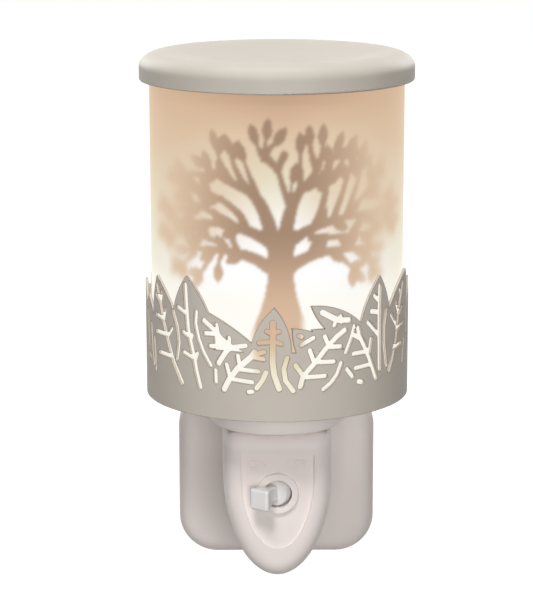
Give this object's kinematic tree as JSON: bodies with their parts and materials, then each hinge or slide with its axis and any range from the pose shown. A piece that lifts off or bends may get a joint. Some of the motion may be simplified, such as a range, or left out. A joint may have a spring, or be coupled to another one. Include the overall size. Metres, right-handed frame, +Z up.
{
  "type": "plug-in wax melt warmer",
  "caption": "Plug-in wax melt warmer: a dish on a lit frosted glass tube with a tree silhouette, in a leaf-cut metal cup above a wall-plug base with a toggle switch.",
  "frame": {"origin": "middle of the plug's wall face, where the warmer is pushed against the socket plate", "axes": "+X to the viewer's right, +Y into the wall along the pins, +Z up along the lamp"},
  "size_m": [0.08, 0.1067, 0.164],
  "materials": {
    "glazed_dish": "glazed off-white, satin sheen",
    "frosted_glass": "frosted, lit warm from inside",
    "bronze_sheet": "matt bronze paint",
    "satin_sleeve": "satin champagne grey paint",
    "plain_steel": "plain bright steel",
    "housing_plastic": "glossy off-white moulding",
    "lever_plastic": "glossy white moulding",
    "holder_plastic": "plain heat-proof moulding",
    "cover_plastic": "fine matt moulding",
    "contact_brass": "plain brass",
    "pin_insulation": "black insulating plastic",
    "lamp_glass": "clear blown glass",
    "filament_wire": "fine wire",
    "cap_aluminium": "thin pressed cap",
    "cap_insulator": "dark vitreous insulator",
    "brown_insulation": "brown wire insulation",
    "blue_insulation": "blue wire insulation"
  },
  "bodies": {
    "base": {"glass_cylinder": "frosted_glass", "tree_silhouette": "bronze_sheet", "leaf_sleeve": "satin_sleeve", "cup_floor": "plain_steel", "lamp_collar": "housing_plastic", "lamp_holder": "holder_plastic", "shade_ring": "holder_plastic", "socket_shell": "contact_brass", "centre_contact": "contact_brass", "lamp_glass": "lamp_glass", "lamp_stem": "lamp_glass", "lamp_filament": "filament_wire", "lamp_cap": "cap_aluminium", "lamp_insulator": "cap_insulator", "lamp_contact": "contact_brass", "front_housing": "housing_plastic", "back_cover": "cover_plastic", "live_pin": "contact_brass", "neutral_pin": "contact_brass", "pin_sleeves": "pin_insulation", "earth_pin": "pin_insulation", "cover_screws": "plain_steel", "holder_screws": "plain_steel", "switch_bezel": "housing_plastic", "switch_body": "holder_plastic", "switch_pivot": "plain_steel", "switch_terminals": "contact_brass", "live_lead": "brown_insulation", "switched_lead": "brown_insulation", "neutral_lead": "blue_insulation"},
    "dish": {"wax_dish": "glazed_dish"},
    "lever": {"switch_lever": "lever_plastic", "moving_contact": "contact_brass"}
  },
  "joints": [
    {"name": "dish_lift", "type": "slide", "parent": "base", "child": "dish", "axis": [0, 0, 1], "range_m": [0, 0.05]},
    {"name": "switch_toggle", "type": "hinge", "parent": "base", "child": "lever", "pos_m": [0, -0.0587, 0.0085], "axis": [0, 0, 1], "range_deg": [0, 68]}
  ]
}
